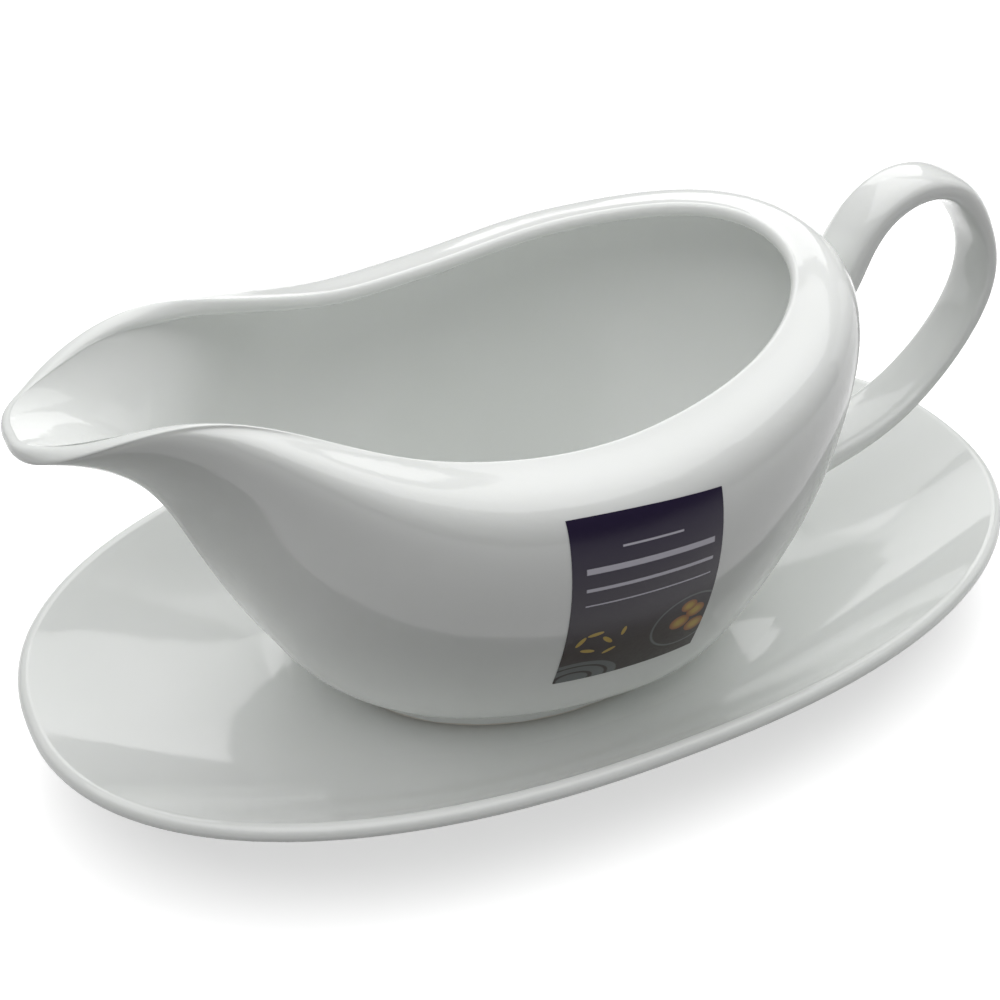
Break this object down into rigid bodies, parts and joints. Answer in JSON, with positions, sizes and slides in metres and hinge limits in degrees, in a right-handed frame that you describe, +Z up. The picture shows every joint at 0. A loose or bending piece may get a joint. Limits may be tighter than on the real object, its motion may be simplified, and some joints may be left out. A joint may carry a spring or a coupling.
{
  "type": "gravy boat with saucer",
  "caption": "White glazed gravy boat with an open pouring spout and a loop strap handle, standing on its own oval saucer.",
  "frame": {"origin": "on the table, under the middle of the saucer", "axes": "+Z up, +X towards the handle, -X towards the spout, -Y the side with the label"},
  "size_m": [0.23, 0.13, 0.0988],
  "materials": {
    "saucer_glaze": "glossy white glaze",
    "boat_glaze": "glossy white glaze",
    "handle_glaze": "glossy white glaze",
    "label_paper": "dark printed paper with a plain pattern"
  },
  "bodies": {
    "saucer": {"saucer": "saucer_glaze"},
    "boat": {"boat_bowl": "boat_glaze", "handle": "handle_glaze", "label": "label_paper"}
  },
  "joints": [
    {"name": "boat_lift", "type": "slide", "parent": "saucer", "child": "boat", "axis": [0, 0, 1], "range_m": [0, 0.12]}
  ]
}
